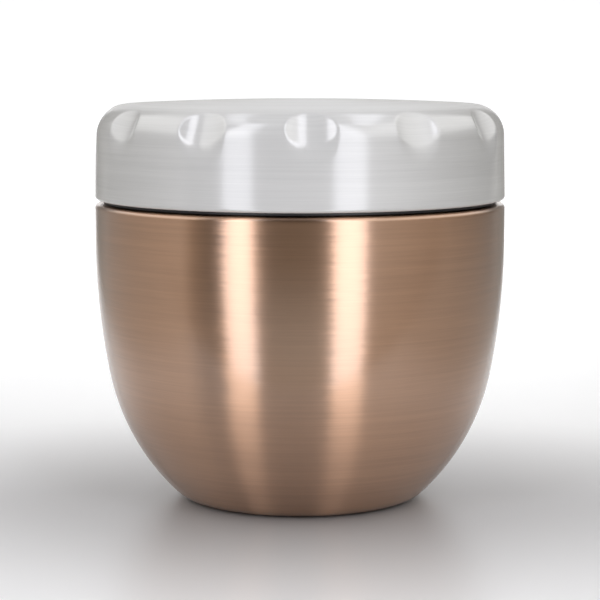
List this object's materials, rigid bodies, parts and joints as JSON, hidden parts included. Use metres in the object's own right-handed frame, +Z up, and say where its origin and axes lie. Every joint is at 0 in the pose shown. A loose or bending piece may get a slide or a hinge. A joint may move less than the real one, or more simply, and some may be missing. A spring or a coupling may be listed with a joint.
{
  "type": "insulated bowl with screw lid",
  "caption": "Round double-walled steel food bowl with a copper-toned tapering body and a plain steel screw lid with thumb dimples round its upper edge.",
  "frame": {"origin": "centre of the foot, on the table plane", "axes": "+Z up along the axis of the bowl and the lid's thread; +X and +Y each pass through a lid dimple"},
  "size_m": [0.12, 0.12, 0.1174],
  "materials": {
    "copper_steel": "satin",
    "lid_steel": "satin",
    "liner_steel": "satin",
    "base_steel": "satin",
    "clip_steel": "satin",
    "copper_foil": "gloss",
    "braze": "satin",
    "getter_pill": "matte",
    "dark_plastic": "satin",
    "lid_foam": "matte",
    "silicone": "matte"
  },
  "bodies": {
    "bowl": {"outer_shell": "copper_steel", "inner_shell": "liner_steel", "radiation_foil": "copper_foil", "vacuum_base": "base_steel", "seal_bead": "braze", "getter": "getter_pill", "getter_clip": "clip_steel", "base_cover": "base_steel"},
    "seal_ring": {"lid_seal": "silicone"},
    "lid": {"lid_cap": "lid_steel", "lid_liner": "dark_plastic", "lid_insulation": "lid_foam"}
  },
  "joints": [
    {"name": "lid_rise", "type": "slide", "parent": "bowl", "child": "seal_ring", "axis": [0, 0, 1], "range_m": [0, 0.018]},
    {"name": "lid_twist", "type": "hinge", "parent": "seal_ring", "child": "lid", "pos_m": [0, 0, 0.0885], "axis": [0, 0, 1], "range_deg": [0, 1080]}
  ],
  "couplings": [
    {"joint": "lid_rise", "follows": "lid_twist", "m_per_rad": 0.00095492}
  ]
}
